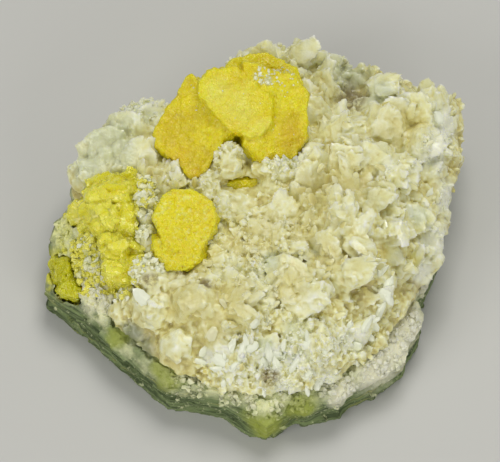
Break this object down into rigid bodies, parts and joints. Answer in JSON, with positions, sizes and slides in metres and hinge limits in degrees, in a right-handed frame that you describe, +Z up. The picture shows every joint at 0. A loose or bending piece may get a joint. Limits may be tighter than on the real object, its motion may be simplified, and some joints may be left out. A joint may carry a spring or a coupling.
{
  "type": "sulfur specimen",
  "caption": "Hand specimen of rough yellow sulfur crystals on a cream calcite crust over a broken slab of grey limestone, lying crystals up on a flat face.",
  "frame": {"origin": "middle of the flat underside that the specimen lies on, below the middle of its overall outline", "axes": "+Z up through the crystals; +X to the right and +Y to the back as the specimen is seen from the front, with the bare limestone on the left and in front"},
  "size_m": [0.102, 0.0994, 0.0428],
  "materials": {
    "limestone": "rough broken grey limestone, stained olive and cream",
    "calcite": "cream to honey calcite crystals, slightly clear, with a vitreous shine",
    "sulfur": "bright yellow crystals with an etched, resinous surface"
  },
  "bodies": {
    "root": {"limestone_matrix": "limestone", "calcite_crust": "calcite", "sulfur_large_group": "sulfur", "sulfur_single_crystal": "sulfur", "sulfur_lower_crystal": "sulfur", "sulfur_vein": "sulfur", "sulfur_edge_patch": "sulfur"}
  },
  "joints": []
}
